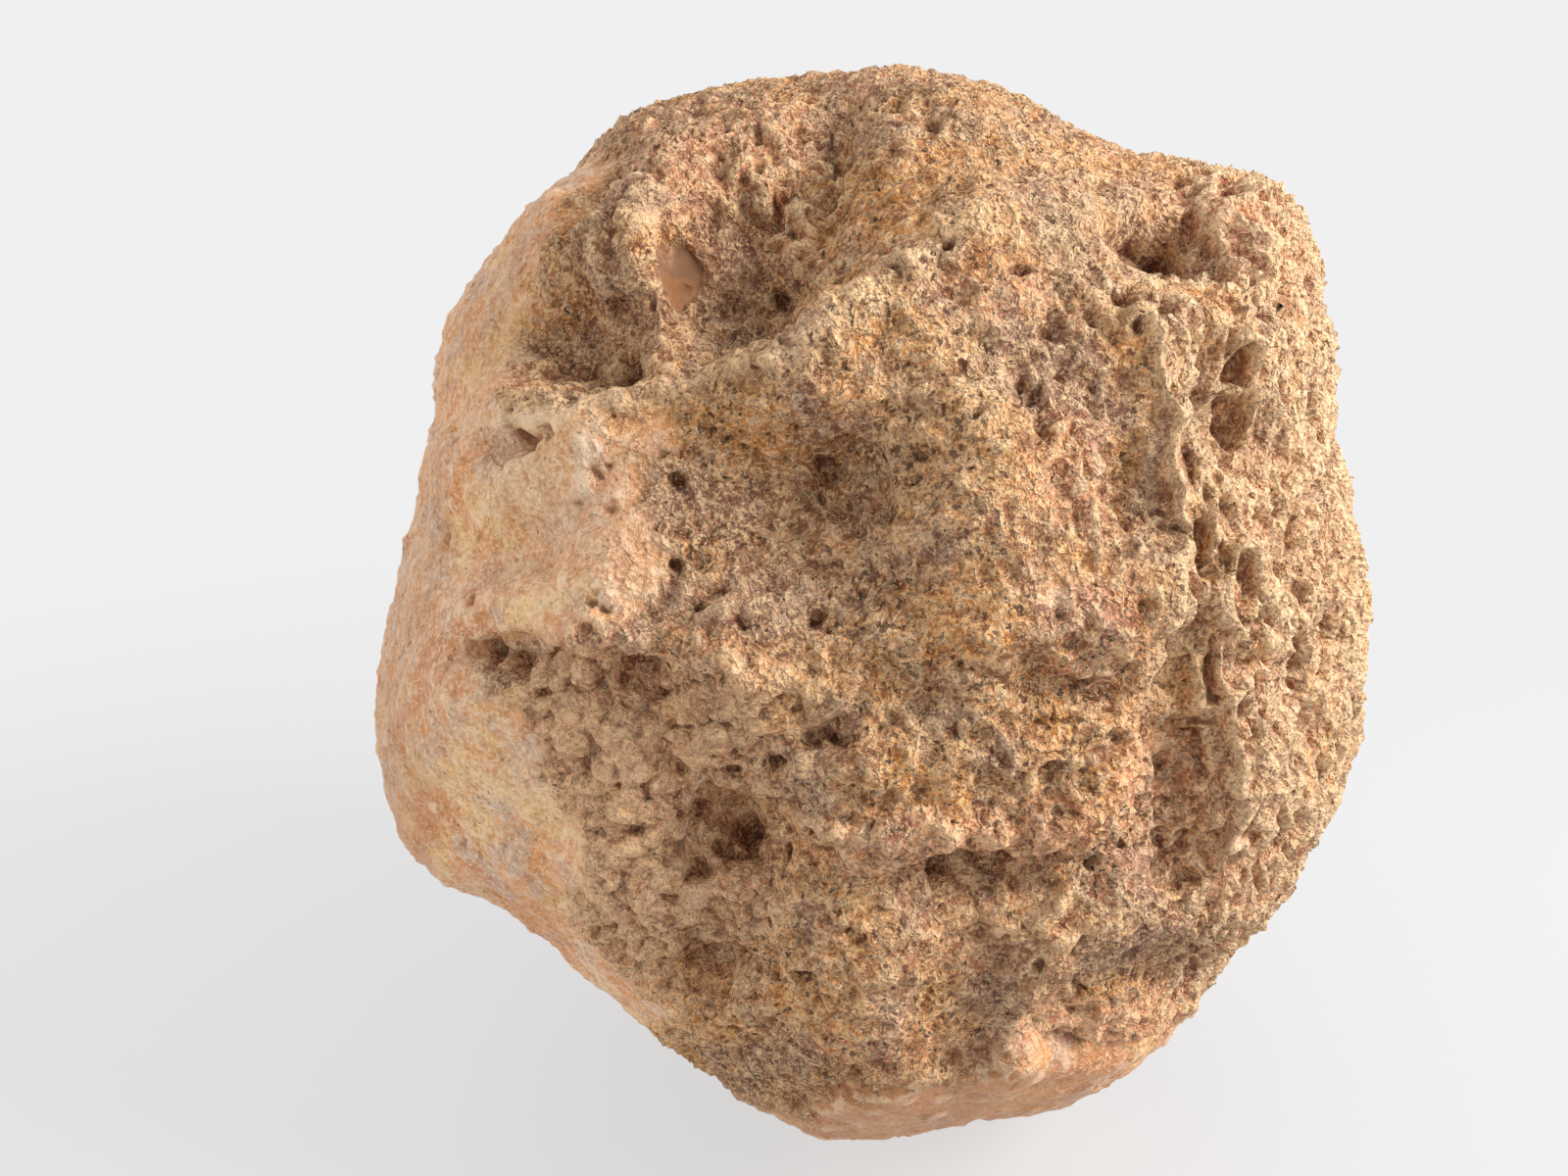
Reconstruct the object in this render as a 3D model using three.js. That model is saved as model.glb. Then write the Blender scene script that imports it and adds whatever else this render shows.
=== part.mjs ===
// A whole, uncut geode: one rounded stone, a little taller than it is wide, that rests on a flat worn into
// its underside. Its front has a basin at the upper left, over a brow, a shallow dish in the middle of the
// face, a crest down the right, a hollow under the lip of the face, and open cavities.
//
// Millimetres, +Z up. The front looks along -Y and a little upwards, and the origin is on the resting flat.
import * as THREE from "three";
import { ImprovedNoise } from "three/addons/math/ImprovedNoise.js";
import { mergeVertices } from "three/addons/utils/BufferGeometryUtils.js";

// Driving dimensions. Radii are measured from the stone's middle, REST_HEIGHT above the origin.
const REST_HEIGHT = 66.5;
const FRONT_DEPTH = 62;
const BACK_DEPTH = 57;
const MEAN_RADIUS = 65;
const SQUARENESS = 2.25; // exponent of the section from front to back: 2 is an ellipse, more is fuller
const FACE_SPLITS = 21; // each face of an icosahedron is split into (FACE_SPLITS + 1) squared triangles
const FRONT_BIAS = 0.35; // how far the mesh is drawn towards the front, where the relief is finest

// The front is described as it looks from an eye in front of the middle and a little above it: every
// [across, up] pair is in millimetres on the plane through the middle that faces the eye.
const EYE_DISTANCE = 185;
const EYE_ELEVATION = THREE.MathUtils.degToRad(15);

// The outline that the eye sees, clockwise from the top.
const OUTLINE = [
  [-2, 74.5], [7.5, 74.5], [23.5, 69.5], [30.5, 65], [37, 62.5], [43.5, 62], [50.5, 60], [56, 56.5],
  [63.5, 46], [62.5, 37], [64.5, 29.5], [65.5, 22.5], [70, 3], [69.5, -9.5], [66, -29], [61, -37],
  [57.5, -43], [52.5, -49], [45, -59.5], [34, -68.5], [26.5, -72], [16, -73], [-2, -75.5],
  [-14.5, -70.5], [-27, -62.5], [-44.5, -46.5], [-60, -37.5], [-67, -29.5], [-69.5, -20.5],
  [-69.5, -15], [-67, 1.5], [-63, 15.5], [-60.5, 24], [-61, 31], [-57, 44], [-45.5, 55.5],
  [-34.5, 67], [-25.5, 70.5], [-17.5, 73], [-8.5, 73.5],
];

// Ridges stand out by height, and grooves have a negative one. Each falls off within the first width on the
// left of its path, and the second on the right, so a ledge has one narrow and one wide side.
const RIDGES = [
  { name: "brow above the face", height: 3.2, widths: [9, 20],
    path: [[-49, 25], [-40, 27], [-33, 31], [-26, 33], [-17, 32], [-8, 34], [1, 39], [6, 45], [17, 52]] },
  { name: "crest down the right", height: 3.4, widths: [10, 8],
    path: [[17, 52], [27, 50], [34, 45], [40, 40], [43, 31], [44, 22], [47, 16], [51, 7], [51, -32]] },
  { name: "inner fold", height: 1.5, widths: [5, 5],
    path: [[34, 34], [38, 24], [42, 16], [42, 7], [41, -2], [39, -9]] },
  { name: "swell at the left", height: 3, widths: [9, 9],
    path: [[-40, 24], [-36, 16], [-34, 7], [-33, -2]] },
  { name: "shelf at the upper right", height: 2.6, widths: [6, 9],
    path: [[38, 42], [48, 40], [56, 37], [63, 36]] },
  { name: "lip of the face", height: 1.8, widths: [16, 5],
    path: [[-45, -5], [-37, -8], [-26, -7], [-17, -10], [-12, -16], [-6, -22]] },
  { name: "lower lip", height: 1.5, widths: [9, 4],
    path: [[6, -34], [16, -33], [24, -32], [31, -29]] },
  { name: "arc at the lower right", height: 2.4, widths: [6, 6],
    path: [[21, -55], [28, -48], [38, -45], [49, -43]] },
  { name: "keel at the lower left", height: 1.5, widths: [7, 7],
    path: [[-63, -35], [-52, -39], [-40, -48], [-27, -59]] },
  { name: "rib left of the basin", height: 2, widths: [6, 6],
    path: [[-27, 59], [-31, 53], [-31, 45], [-26, 36]] },
  { name: "crack at the top", height: -3, widths: [3, 3],
    path: [[-5, 70], [-5, 61], [-6, 54]] },
  { name: "groove right of the crest", height: -2.5, widths: [5, 5],
    path: [[46, 34], [48, 25], [53, 16], [57, 4]] },
  { name: "groove low on the right", height: -1.2, widths: [5, 5],
    path: [[43, -5], [43, -18], [42, -29], [44, -40]] },
];

// Rounded swellings, and with a negative height hollows, as ellipses of these half sizes [across, up].
const MOUNDS = [
  { name: "basin at the upper left", middle: [-18, 47], half: [17, 17], height: -9 },
  { name: "hollow left of the basin", middle: [-40, 38], half: [14, 9], height: -5 },
  { name: "valley over the top", middle: [-5, 62], half: [14, 15], height: -4 },
  { name: "dish of the face", middle: [-9, 14], half: [19, 15], height: -4 },
  { name: "hollow under the lip", middle: [-26, -21], half: [26, 15], height: -2.5 },
  { name: "groove under the lower lip", middle: [17, -38], half: [11, 4.5], height: -2.6 },
  { name: "recess above the shelf", middle: [43, 49], half: [11, 7], height: -4.5 },
  { name: "dish at the lower right", middle: [39, -52], half: [13, 7], height: -3.5 },
  { name: "notch at the lower corner", middle: [30, -61], half: [10, 6], height: -2 },
  { name: "bulge right of the face", middle: [21, 10], half: [22, 32], height: 3.2 },
  { name: "bulge at the foot", middle: [-5, -55], half: [30, 16], height: 2 },
  { name: "shoulder at the left", middle: [-58, -13], half: [12, 22], height: 2 },
  { name: "flank above the left", middle: [-44, 50], half: [11, 14], height: 2.5 },
  { name: "lobe at the upper right", middle: [53, 52], half: [10, 10], height: 2 },
  { name: "dome at the top", middle: [10, 66], half: [14, 10], height: 2 },
  { name: "cavity by the brow", middle: [-35, 33], half: [4.5, 3.2], height: -5 },
  { name: "cavity in the basin", middle: [-14, 43], half: [3, 3], height: -4 },
  { name: "cavity at the brow's end", middle: [-49, 22], half: [5, 3.2], height: -4 },
  { name: "cavity in the dish", middle: [-6, 17], half: [3, 3], height: -3 },
  { name: "cavity under the lip", middle: [-33, -11], half: [5.5, 3.8], height: -5 },
  { name: "cleft left of the lip", middle: [-51, -8], half: [8, 3], height: -3.5 },
  { name: "largest cavity", middle: [-21, -35], half: [7.5, 6.5], height: -6.5 },
  { name: "cavity right of the lip", middle: [-6, -19], half: [4.5, 3], height: -4 },
  { name: "cavity at the foot", middle: [-21, -52], half: [5, 4], height: -3 },
];

// Lumps all over, from coarse to fine: [size of a lump, how far it stands out].
const LUMPS = [[44, 1.4], [19, 1], [9, 0.6]];
// Sharp crests with rounded pits between them, where the stone is rough: [spacing, height].
const CRESTS = [[12, 1.5], [8, 0.7]];
// The back, which the eye doesn't see, is knobblier and has wide hollows.
const BACK_LUMPS = [[30, 4], [13, 1.8]];

const TO_EYE = new THREE.Vector3(0, -Math.cos(EYE_ELEVATION), Math.sin(EYE_ELEVATION));
const ACROSS = new THREE.Vector3(1, 0, 0);
const UP = new THREE.Vector3().crossVectors(TO_EYE, ACROSS);

const { clamp, lerp, smoothstep } = THREE.MathUtils;
const perlin = new ImprovedNoise();

// The eye looks past the bulge of the near side, so the outline looks wider than the stone by outlineGain.
// The sight lines of the outline touch the stone at the limb, whose directions have this cosine to the eye's.
const LIMB_STEPS = 100;
let limb = 0;
let outlineGain = 1;
for (let i = 1; i < LIMB_STEPS; i++) {
  const towards = i / LIMB_STEPS;
  const side = (1 - towards ** SQUARENESS) ** (1 / SQUARENESS);
  const gain = side / (1 - towards * FRONT_DEPTH / EYE_DISTANCE);
  if (gain > outlineGain) {
    outlineGain = gain;
    limb = Math.sin(Math.atan2(towards * FRONT_DEPTH, side * MEAN_RADIUS));
  }
}

const OUTLINE_SAMPLES = 720;
const GIRTH_SPREAD = 36; // samples on each side that the plain girth is averaged over
const girthPoints = OUTLINE.map(([across, up]) => new THREE.Vector3(across, up, 0));
girthPoints.forEach((point) => point.divideScalar(outlineGain));
const outlineCurve = new THREE.CatmullRomCurve3(girthPoints, true, "centripetal");
const outlineRadii = new Float64Array(OUTLINE_SAMPLES);
for (let i = 0; i < OUTLINE_SAMPLES * 4; i++) {
  const point = outlineCurve.getPoint(i / (OUTLINE_SAMPLES * 4));
  outlineRadii[angleSlot(Math.atan2(point.y, point.x))] = Math.hypot(point.x, point.y);
}
// The outline without its small bumps, which belong to the limb alone and don't run on over the stone.
const girthRadii = outlineRadii.map((_, slot) => {
  let sum = 0;
  for (let step = -GIRTH_SPREAD; step <= GIRTH_SPREAD; step++) {
    sum += outlineRadii[(slot + step + OUTLINE_SAMPLES) % OUTLINE_SAMPLES];
  }
  return sum / (2 * GIRTH_SPREAD + 1);
});

function angleSlot(angle) {
  const turn = angle / (2 * Math.PI);
  return Math.floor((turn - Math.floor(turn)) * OUTLINE_SAMPLES) % OUTLINE_SAMPLES;
}

// The radius of the stone without its relief: a full section from the front or back depth to the outline.
function plainRadius(direction) {
  const across = direction.dot(ACROSS);
  const up = direction.dot(UP);
  const towards = direction.dot(TO_EYE);
  const depth = towards > 0 ? FRONT_DEPTH : BACK_DEPTH;
  const slot = angleSlot(Math.atan2(up, across));
  const offLimb = smoothstep(Math.abs(towards - limb), 0.08, 0.45);
  const outline = lerp(outlineRadii[slot], girthRadii[slot], offLimb);
  const side = Math.hypot(across, up);
  const section = Math.abs(towards / depth) ** SQUARENESS + (side / outline) ** SQUARENESS;
  return section ** (-1 / SQUARENESS);
}

// 1 at the middle, falling smoothly to 0 at share 1.
function dome(share) {
  return share >= 1 ? 0 : (1 - share * share) ** 2;
}

// The distance of a point from a path, negative on the right of its direction.
function distanceFrom(path, across, up) {
  let nearest = Infinity;
  let side = 1;
  for (let i = 1; i < path.length; i++) {
    const [fromAcross, fromUp] = path[i - 1];
    const alongAcross = path[i][0] - fromAcross;
    const alongUp = path[i][1] - fromUp;
    const toAcross = across - fromAcross;
    const toUp = up - fromUp;
    const along = (toAcross * alongAcross + toUp * alongUp) / (alongAcross ** 2 + alongUp ** 2);
    const share = clamp(along, 0, 1);
    const distance = Math.hypot(toAcross - share * alongAcross, toUp - share * alongUp);
    if (distance < nearest) {
      nearest = distance;
      side = alongAcross * toUp - alongUp * toAcross >= 0 ? 1 : -1;
    }
  }
  return nearest * side;
}

function ridgeRelief({ path, height, widths }, across, up) {
  const distance = distanceFrom(path, across, up);
  const width = distance >= 0 ? widths[0] : widths[1];
  return height * dome(Math.abs(distance) / width);
}

function moundRelief({ middle, half, height }, across, up) {
  return height * dome(Math.hypot((across - middle[0]) / half[0], (up - middle[1]) / half[1]));
}

// What stands out of the plain stone at a point of its surface. Where ridges meet, the highest one counts
// alone, and where grooves meet, the deepest one.
function frontRelief(point) {
  const nearness = EYE_DISTANCE / (EYE_DISTANCE - point.dot(TO_EYE));
  const across = point.dot(ACROSS) * nearness;
  const up = point.dot(UP) * nearness;
  const ridges = RIDGES.map((ridge) => ridgeRelief(ridge, across, up));
  const lines = Math.max(0, ...ridges) + Math.min(0, ...ridges);
  return MOUNDS.reduce((sum, mound) => sum + moundRelief(mound, across, up), lines);
}

function lumpRelief(lumps, point) {
  return lumps.reduce((sum, [size, height]) => sum + height * noiseAt(point, size), 0);
}

function crestRelief(point) {
  return CRESTS.reduce((sum, [spacing, height]) => {
    return sum + height * (0.5 - 2 * Math.abs(noiseAt(point, spacing)));
  }, 0);
}

function noiseAt(point, size) {
  return perlin.noise(point.x / size, point.y / size, point.z / size);
}

// The left flank and the foot are smooth, and the rest is rough.
function roughness(point) {
  const flank = smoothstep(point.x, -44, -26);
  const foot = smoothstep(point.z, -60, -48);
  return flank * foot;
}

function surfacePoint(direction) {
  const plain = plainRadius(direction);
  const point = direction.clone().multiplyScalar(plain);
  const towards = direction.dot(TO_EYE);
  const front = smoothstep(towards, 0.2, 0.5);
  const back = smoothstep(-towards, -0.15, 0.3);
  const offLimb = smoothstep(Math.abs(towards - limb), 0, 0.25);
  const relief =
    front * frontRelief(point) +
    offLimb * (lumpRelief(LUMPS, point) + roughness(point) * crestRelief(point)) +
    back * lumpRelief(BACK_LUMPS, point);
  return direction.clone().multiplyScalar(plain + relief);
}

function stoneGeometry() {
  const sphere = new THREE.IcosahedronGeometry(1, FACE_SPLITS);
  sphere.deleteAttribute("normal");
  sphere.deleteAttribute("uv");
  const geometry = mergeVertices(sphere);
  const position = geometry.getAttribute("position");
  for (let i = 0; i < position.count; i++) {
    const direction = new THREE.Vector3().fromBufferAttribute(position, i);
    direction.addScaledVector(TO_EYE, FRONT_BIAS).normalize();
    const point = surfacePoint(direction);
    position.setXYZ(i, point.x, point.y, Math.max(point.z + REST_HEIGHT, 0));
  }
  geometry.computeVertexNormals();
  return geometry;
}

const geode = new THREE.Group();
const stone = new THREE.Mesh(
  stoneGeometry(),
  new THREE.MeshStandardMaterial({ color: 0xb98f63, roughness: 0.75, metalness: 0 }));
stone.name = "geode";
geode.add(stone);

export default geode;
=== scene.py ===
"""Looks of a whole, uncut geode: a pitted, spongy crust with waxy chalcedony showing at one side.

Lengths in the modelling part are millimetres; vertices become metres only when the mesh is made.
"""

import math
from itertools import product

import bpy
import numpy as np
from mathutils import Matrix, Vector
from mathutils.bvhtree import BVHTree


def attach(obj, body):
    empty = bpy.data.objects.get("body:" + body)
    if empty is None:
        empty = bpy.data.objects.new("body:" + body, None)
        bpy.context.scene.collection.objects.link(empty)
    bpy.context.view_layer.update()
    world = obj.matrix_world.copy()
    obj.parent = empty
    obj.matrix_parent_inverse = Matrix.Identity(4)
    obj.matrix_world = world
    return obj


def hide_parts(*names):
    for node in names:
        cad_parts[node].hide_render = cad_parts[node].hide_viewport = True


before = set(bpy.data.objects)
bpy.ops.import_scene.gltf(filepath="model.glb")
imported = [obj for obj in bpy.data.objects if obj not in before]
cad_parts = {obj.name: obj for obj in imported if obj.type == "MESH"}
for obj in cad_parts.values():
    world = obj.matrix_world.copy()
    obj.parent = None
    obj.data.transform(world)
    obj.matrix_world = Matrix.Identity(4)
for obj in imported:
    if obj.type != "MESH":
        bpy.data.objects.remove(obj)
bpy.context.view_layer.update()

MM = 0.001
REST_HEIGHT = 66.5     # of the stone's middle above the face it rests on
EYE_DISTANCE = 185.0   # from the stone's middle to the camera
EYE_ELEVATION = math.radians(15)
MIDDLE = np.array((0.0, 0.0, REST_HEIGHT))
TO_EYE = np.array((0.0, -math.cos(EYE_ELEVATION), math.sin(EYE_ELEVATION)))
ACROSS = np.array((1.0, 0.0, 0.0))
UP = np.array((0.0, math.sin(EYE_ELEVATION), math.cos(EYE_ELEVATION)))

# The photograph's frame in pixels, and where the stone's middle shows in it.
IMAGE_WIDTH, IMAGE_HEIGHT = 1600, 1200
MIDDLE_X, MIDDLE_Y = 885, 612
LENS, SENSOR_WIDTH = 30, 36
PLANE_MM = EYE_DISTANCE * SENSOR_WIDTH / (LENS * IMAGE_WIDTH)   # of a pixel, at the middle's distance
WANDER = 16            # pixels by which noise moves the outlines of patches

CELLS = 250            # along each side of the cube sphere
FRONT_SHARE = 0.32     # of its radius by which it is moved to the eye, for smaller cells in front
RADIUS_BLUR = 45       # rounds, enough to hide the facets of the solid
TRIANGLES = 197000     # in the finished mesh
CHART = 2.2            # width of a chart of the UV map with its margin, where the cube's side is 2


# ---------------------------------------------------------------- small maths


def smooth(a, b, x):
    t = np.clip((x - a) / (b - a), 0, 1)
    return t * t * (3 - 2 * t)


def lerp(a, b, t):
    return a + (b - a) * t


def tables(seed):
    """What a noise draws at random: a shuffle of 0 to 255, directions, and numbers from 0 to 1."""
    rng = np.random.default_rng(seed)
    shuffle = rng.permutation(256).astype(np.int32)
    spread = rng.normal(size=(3, 256))
    spread /= np.linalg.norm(spread, axis=0)
    return shuffle, spread.astype(np.float32), rng.random((4, 256)).astype(np.float32)


def lattice(points, size):
    """The cell of a cubic grid that each point is in, and its place within the cell."""
    q = (points.T / size).astype(np.float32)
    cell = np.floor(q).astype(np.int32)
    return cell, q - cell


def perlin(points, size, seed):
    """Gradient noise, about -1 to 1, with features of the given size."""
    shuffle, spread, _ = tables(seed)
    cell, f = lattice(points, size)
    fade = f * f * f * (f * (f * 6 - 15) + 10)
    total = np.zeros(len(points), np.float32)
    for i in (0, 1):
        row = shuffle[(cell[0] + i) & 255]
        wx = fade[0] if i else 1 - fade[0]
        for j in (0, 1):
            column = shuffle[(row + cell[1] + j) & 255]
            wxy = wx * (fade[1] if j else 1 - fade[1])
            for k in (0, 1):
                h = shuffle[(column + cell[2] + k) & 255]
                w = wxy * (fade[2] if k else 1 - fade[2])
                total += w * (
                    spread[0, h] * (f[0] - i) + spread[1, h] * (f[1] - j) + spread[2, h] * (f[2] - k)
                )
    return total * 1.6


def fractal(points, size, octaves, seed, gain=0.5):
    """Layers of noise, each half the size of the last and weaker by the gain."""
    total, weight = 0, 1
    for k in range(octaves):
        total = total + weight * perlin(points, size / 2**k, seed + k)
        weight *= gain
    return total


def cells(points, size, seed):
    """Distances to the nearest and second nearest of scattered points, and the nearest one's random number.

    There is one scattered point to a cell, and the distances are in cell sizes.
    """
    shuffle, _, dice = tables(seed)
    cell, f = lattice(points, size)
    near = np.full(len(points), 9, np.float32)
    next_near = near.copy()
    who = np.zeros(len(points), np.int32)
    for i in (-1, 0, 1):
        row = shuffle[(cell[0] + i) & 255]
        for j in (-1, 0, 1):
            column = shuffle[(row + cell[1] + j) & 255]
            for k in (-1, 0, 1):
                h = shuffle[(column + cell[2] + k) & 255]
                d = (
                    (f[0] - i - dice[0, h]) ** 2
                    + (f[1] - j - dice[1, h]) ** 2
                    + (f[2] - k - dice[2, h]) ** 2
                )
                closer = d < near
                next_near = np.where(closer, near, np.minimum(next_near, d))
                near = np.where(closer, d, near)
                who = np.where(closer, h, who)
    return np.sqrt(near), np.sqrt(next_near), dice[3, who]


# ---------------------------------------------------------------- the base surface


def cube_sphere(n):
    """Unit directions and quads of a cube sphere, with one side square to the eye and denser there."""
    a, b = np.meshgrid(np.arange(n + 1), np.arange(n + 1), indexing="ij")
    grids = []
    for axis, side in product(range(3), (0, n)):
        g = np.empty((n + 1, n + 1, 3), int)
        g[..., axis] = side
        g[..., (axis + 1) % 3] = a
        g[..., (axis + 2) % 3] = b
        grids.append(g)
    corners, index = np.unique(
        np.concatenate([g.reshape(-1, 3) for g in grids]), axis=0, return_inverse=True
    )
    quads = []
    for k, i in enumerate(index.reshape(6, n + 1, n + 1)):
        ring = [i[:-1, :-1], i[1:, :-1], i[1:, 1:], i[:-1, 1:]]
        if k % 2 == 0:
            ring.reverse()
        quads.append(np.stack(ring, axis=-1).reshape(-1, 4))
    t = np.tan((corners / n * 2 - 1) * math.pi / 4)
    t /= np.linalg.norm(t, axis=1)[:, None]
    aim = t[:, :1] * ACROSS + t[:, 1:2] * UP + t[:, 2:] * TO_EYE + FRONT_SHARE * TO_EYE
    return aim / np.linalg.norm(aim, axis=1)[:, None], np.concatenate(quads)


def neighbours(quads, count):
    """The other ends of each vertex's edges in one row, where each vertex's begin, and how many it has."""
    pairs = np.concatenate([quads[:, [k, (k + 1) % 4]] for k in range(4)])
    a = np.concatenate([pairs[:, 0], pairs[:, 1]])
    b = np.concatenate([pairs[:, 1], pairs[:, 0]])
    order = np.argsort(a, kind="stable")
    a, b = a[order], b[order]
    starts = np.searchsorted(a, np.arange(count))
    return b, starts, np.bincount(a, minlength=count)


def blur(values, rounds):
    for _ in range(rounds):
        values = 0.5 * values + 0.5 * np.add.reduceat(values[LINKS[0]], LINKS[1]) / LINKS[2]
    return values


def normals(points, quads):
    """Unit normals of the vertices, outwards."""
    d1 = points[quads[:, 2]] - points[quads[:, 0]]
    d2 = points[quads[:, 3]] - points[quads[:, 1]]
    n = np.cross(d1, d2)
    total = np.zeros_like(points)
    for axis in range(3):
        for k in range(4):
            total[:, axis] += np.bincount(quads[:, k], n[:, axis], len(points))
    return total / np.linalg.norm(total, axis=1)[:, None]


aim, quads = cube_sphere(CELLS)
LINKS = neighbours(quads, len(aim))

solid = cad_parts["geode"]
tree = BVHTree.FromPolygons(
    [v.co / MM for v in solid.data.vertices], [tuple(p.vertices) for p in solid.data.polygons]
)
start = Vector(MIDDLE)
radius = np.array([tree.ray_cast(start, Vector(d))[3] for d in aim])
radius = blur(radius, RADIUS_BLUR)
base = MIDDLE + aim * radius[:, None]
base[:, 2] = np.maximum(base[:, 2], 0)
facing = normals(base, quads)

# Where each vertex shows in the photograph's frame, and how far it is turned to the eye.
offset = base - MIDDLE
depth = offset @ TO_EYE
gain = EYE_DISTANCE / (EYE_DISTANCE - depth)
view_x = MIDDLE_X + (offset @ ACROSS) * gain / PLANE_MM
view_y = MIDDLE_Y - (offset @ UP) * gain / PLANE_MM
to_eye = MIDDLE + TO_EYE * EYE_DISTANCE - base
to_eye /= np.linalg.norm(to_eye, axis=1)[:, None]
turned = np.einsum("ij,ij->i", facing, to_eye)
front = smooth(-0.2, 0.02, turned)
behind = 1 - front
round_the_edge = smooth(-0.6, -0.3, turned)   # as front, but reaching a little way round to the back
wander_x = view_x + WANDER * fractal(base, 7, 3, 11)
wander_y = view_y + WANDER * fractal(base, 7, 3, 14)


def ellipse(at_x, at_y, x, y, half_x, half_y, turn):
    """How far out each place is in a turned ellipse: 0 at its middle, 1 on its edge."""
    c, s = math.cos(math.radians(turn)), math.sin(math.radians(turn))
    u = ((at_x - x) * c + (at_y - y) * s) / half_x
    v = ((at_y - y) * c - (at_x - x) * s) / half_y
    return np.hypot(u, v)


def patch(x, y, half_x, half_y, turn, soft=0.45):
    """A soft ellipse on the side facing the eye, in the photograph's frame, with a ragged edge."""
    return smooth(1 + soft, 1 - soft, ellipse(wander_x, wander_y, x, y, half_x, half_y, turn)) * front


def patches(rows):
    """The strongest of many patches at each place."""
    total = np.zeros(len(base))
    for strength, *row in rows:
        total = np.maximum(total, strength * patch(*row))
    return total


def all_round(shown, strength, low, high, size, seed):
    """A mask of the facing side, carried on over the hidden side by noise."""
    return np.maximum(shown, behind * strength * smooth(low, high, fractal(base, size, 2, seed)))


def inside(outline, ragged=True):
    """1 inside a closed outline in the photograph's frame, 0 outside it and on the far side."""
    vx, vy = (wander_x, wander_y) if ragged else (view_x, view_y)
    within = np.zeros(len(base), bool)
    for (x0, y0), (x1, y1) in zip(outline, outline[1:] + outline[:1]):
        crosses = (y0 > vy) != (y1 > vy)
        within ^= crosses & (vx < (x1 - x0) * (vy - y0) / (y1 - y0 + 1e-9) + x0)
    return within * round_the_edge


def along(points):
    """Distance from a path in the photograph's frame, the same signed, and a fade at its ends.

    The sign is plus on the path's right.
    """
    vx, vy = lerp(view_x, wander_x, 0.8), lerp(view_y, wander_y, 0.8)
    best = np.full(len(base), 1e9)
    signed = best.copy()
    progress = np.zeros(len(base))
    for step, ((x0, y0), (x1, y1)) in enumerate(zip(points, points[1:])):
        dx, dy = x1 - x0, y1 - y0
        t = np.clip(((vx - x0) * dx + (vy - y0) * dy) / (dx * dx + dy * dy), 0, 1)
        ox, oy = vx - x0 - t * dx, vy - y0 - t * dy
        d = np.hypot(ox, oy)
        side = np.sign(dx * (vy - y0) - dy * (vx - x0))
        closer = d < best
        best = np.where(closer, d, best)
        signed = np.where(closer, d * side, signed)
        progress = np.where(closer, (step + t) / (len(points) - 1), progress)
    return best, signed, smooth(0, 0.2, progress) * smooth(1, 0.8, progress)


# ---------------------------------------------------------------- where each kind of surface is

# Outlines of the waxy chalcedony on the side facing the eye, in the photograph's frame.
WAXY = (
    ((640, 60), (600, 190), (545, 262), (560, 318), (520, 372), (505, 430), (560, 418), (612, 410),
     (668, 420), (690, 452), (660, 500), (668, 560), (652, 610), (600, 648), (560, 655), (484, 650),
     (478, 690), (520, 716), (548, 760), (560, 806), (600, 842), (606, 900), (590, 940), (640, 990),
     (690, 1050), (500, 1050), (300, 900), (300, 300)),
    ((690, 1086), (759, 1113), (797, 1118), (846, 1124), (892, 1106), (958, 1089), (1018, 1092),
     (1046, 1062), (1090, 1070), (1150, 1066), (1206, 1040), (1262, 985), (1300, 1100), (1000, 1250),
     (700, 1250)),
)
# strength, x, y, half width, half height, turn in degrees
PINK = (
    (0.9, 1180, 800, 60, 60, 0),
    (0.8, 1110, 650, 50, 50, 0),
    (0.8, 1290, 920, 46, 80, 30),
    (0.8, 1000, 860, 120, 30, -8),
    (0.7, 600, 750, 120, 130, -20),
    (0.6, 650, 900, 90, 100, -20),
    (0.8, 1300, 255, 75, 70, 30),
    (0.6, 1200, 200, 90, 26, 30),
    (0.7, 1285, 505, 24, 70, 5),
    (0.7, 1268, 672, 32, 80, 0),
    (0.6, 1340, 620, 30, 160, 5),
    (0.7, 1285, 890, 60, 60, 20),
    (0.9, 1105, 1056, 100, 30, -8),
    (0.7, 1170, 860, 70, 40, -20),
    (0.8, 1000, 842, 110, 20, -8),
    (0.7, 735, 165, 100, 50, -15),
    (0.8, 865, 85, 60, 14, 0),
    (0.6, 690, 130, 40, 20, -30),
    (0.6, 860, 855, 30, 40, 0),
    (0.4, 890, 1062, 70, 26, 0),
    (0.5, 705, 687, 70, 22, 0),
    (0.5, 1090, 470, 40, 60, 0),
    (0.4, 1010, 300, 60, 30, -20),
    (0.6, 640, 560, 24, 70, 0),
    (0.4, 430, 720, 30, 90, 0),
)
OCHRE = (
    (0.5, 640, 800, 50, 40, 0),
    (1.0, 905, 215, 44, 55, 0),
    (0.8, 873, 312, 44, 36, 0),
    (0.8, 725, 430, 55, 36, 0),
    (0.7, 752, 470, 60, 30, 0),
    (0.6, 856, 655, 44, 48, 0),
    (0.9, 988, 628, 66, 46, 0),
    (0.5, 1000, 700, 70, 30, 0),
    (0.7, 1032, 890, 22, 60, 0),
    (0.5, 900, 800, 80, 40, 0),
    (0.6, 700, 850, 60, 40, 0),
    (0.5, 740, 1010, 90, 50, 0),
    (0.6, 560, 300, 40, 60, 30),
    (0.5, 930, 960, 60, 60, 0),
    (0.8, 925, 530, 18, 60, 0),
    (0.6, 1206, 470, 20, 120, 5),
    (0.5, 1210, 770, 60, 60, 0),
    (0.5, 455, 740, 32, 46, 0),
    (0.6, 545, 500, 44, 60, 10),
    (0.5, 1120, 330, 40, 40, 0),
    (0.4, 1000, 180, 60, 40, 0),
    (0.6, 480, 420, 40, 60, 0),
)
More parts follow.
